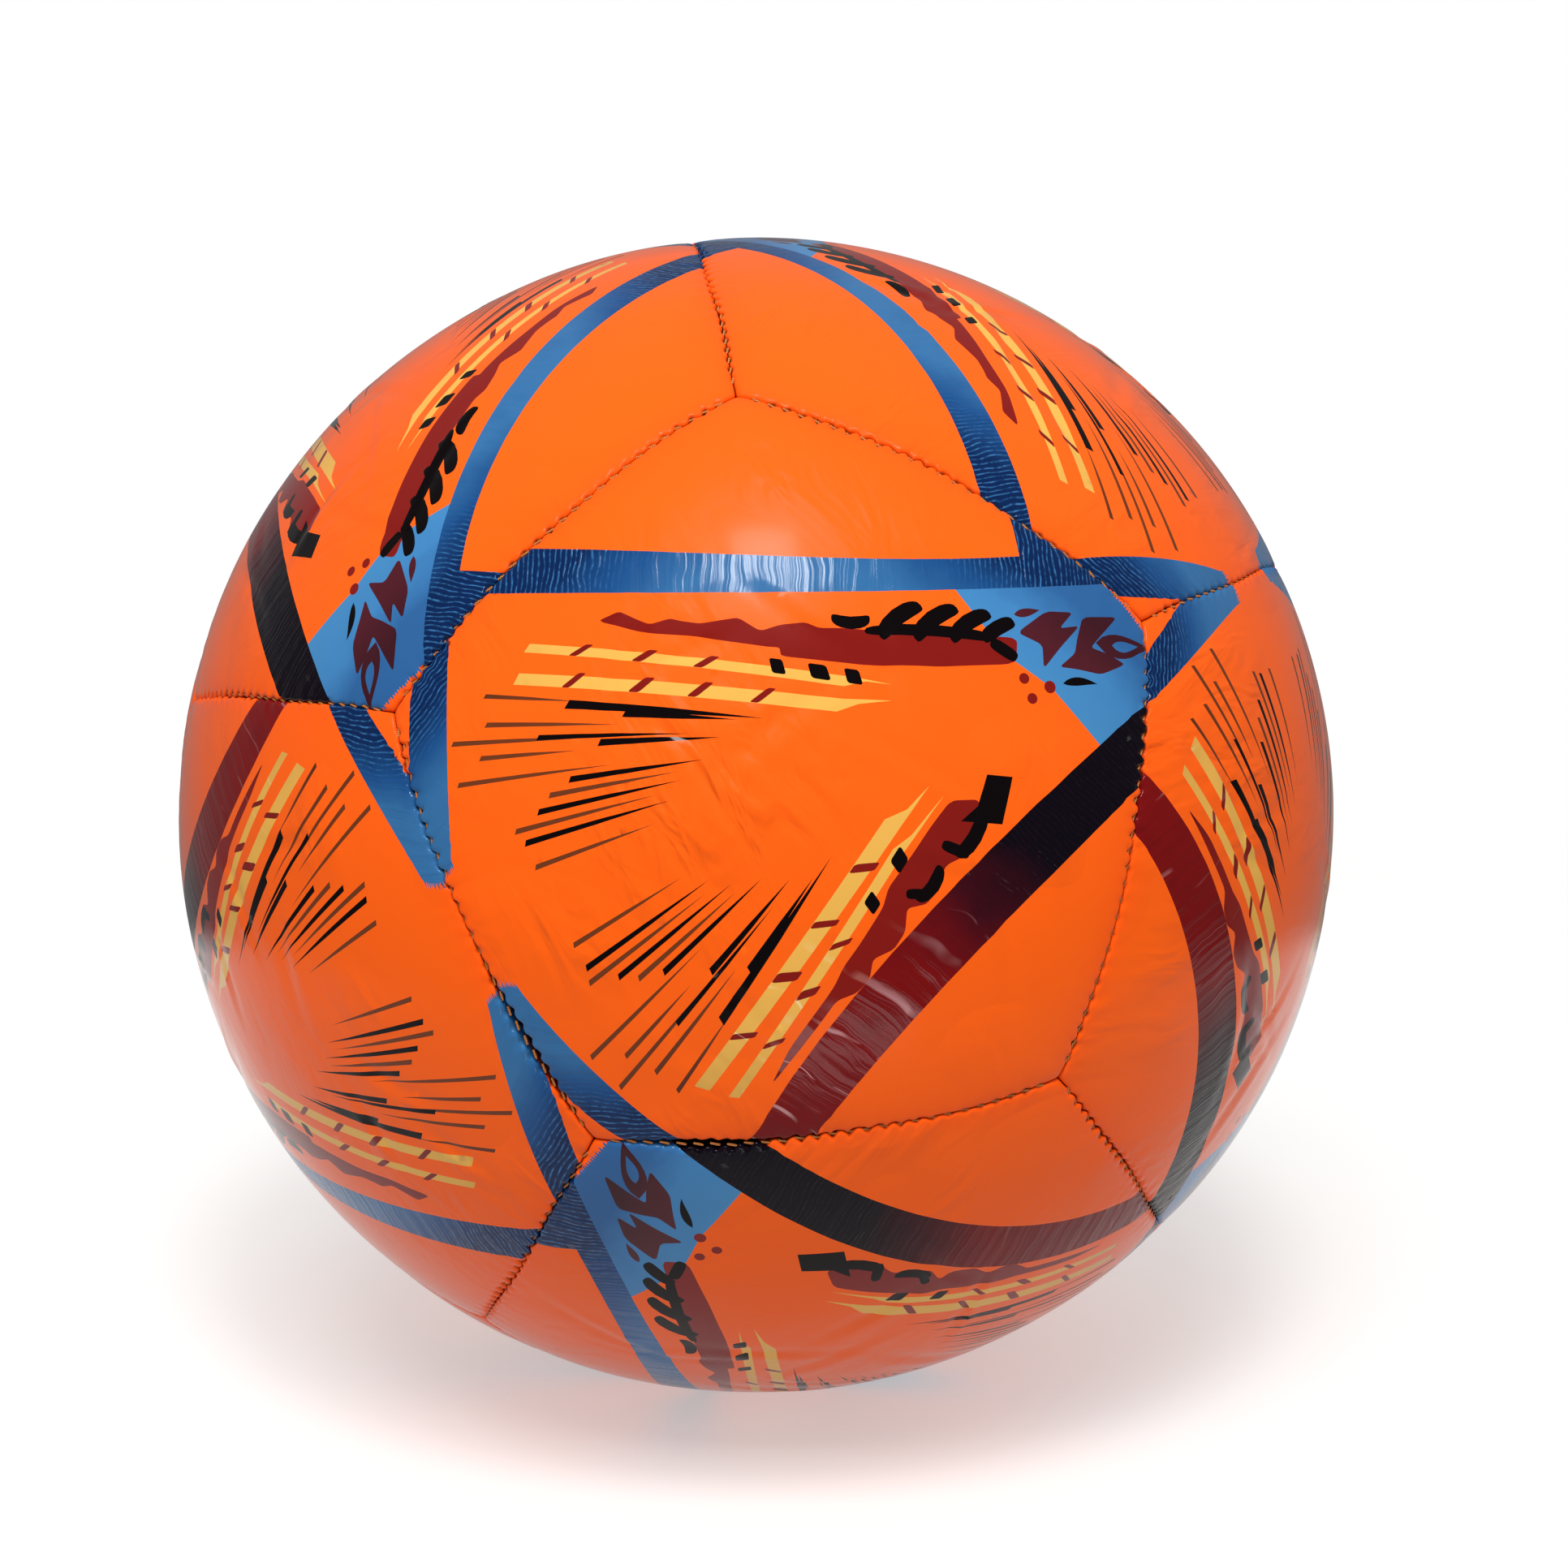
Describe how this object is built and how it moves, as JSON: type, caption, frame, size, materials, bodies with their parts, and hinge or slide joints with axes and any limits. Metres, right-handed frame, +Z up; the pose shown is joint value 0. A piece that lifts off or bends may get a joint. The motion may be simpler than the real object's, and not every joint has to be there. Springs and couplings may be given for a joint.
{
  "type": "soccer ball",
  "caption": "Inflated round ball sewn from padded five-sided panels with turned-in edges, thread in the seams, an air bladder inside and a rubber needle valve.",
  "frame": {"origin": "centre of the ball", "axes": "+Z up as the ball lies on the floor, -Y towards the front panel, so the valve is on the +Y side"},
  "size_m": [0.2198, 0.2192, 0.2198],
  "materials": {
    "skin": "printed glossy orange PVC film over a soft backing",
    "foam": "closed-cell EVA foam pad",
    "backing": "woven polyester and cotton backing cloth",
    "bladder": "moulded butyl rubber, matt black",
    "thread": "waxed polyester sewing thread, light orange",
    "valve_body": "moulded black rubber",
    "valve_core": "moulded pale rubber plug with a needle channel",
    "balance_patch": "flat butyl rubber patch"
  },
  "bodies": {
    "root": {"skin_01": "skin", "skin_02": "skin", "skin_03": "skin", "skin_04": "skin", "skin_05": "skin", "skin_06": "skin", "skin_07": "skin", "skin_08": "skin", "skin_09": "skin", "skin_10": "skin", "skin_11": "skin", "skin_12": "skin", "foam_01": "foam", "foam_02": "foam", "foam_03": "foam", "foam_04": "foam", "foam_05": "foam", "foam_06": "foam", "foam_07": "foam", "foam_08": "foam", "foam_09": "foam", "foam_10": "foam", "foam_11": "foam", "foam_12": "foam", "backing_01": "backing", "backing_02": "backing", "backing_03": "backing", "backing_04": "backing", "backing_05": "backing", "backing_06": "backing", "backing_07": "backing", "backing_08": "backing", "backing_09": "backing", "backing_10": "backing", "backing_11": "backing", "backing_12": "backing", "bladder": "bladder", "seam_thread": "thread", "valve_body": "valve_body", "valve_core": "valve_core", "balance_patch": "balance_patch"}
  },
  "joints": []
}
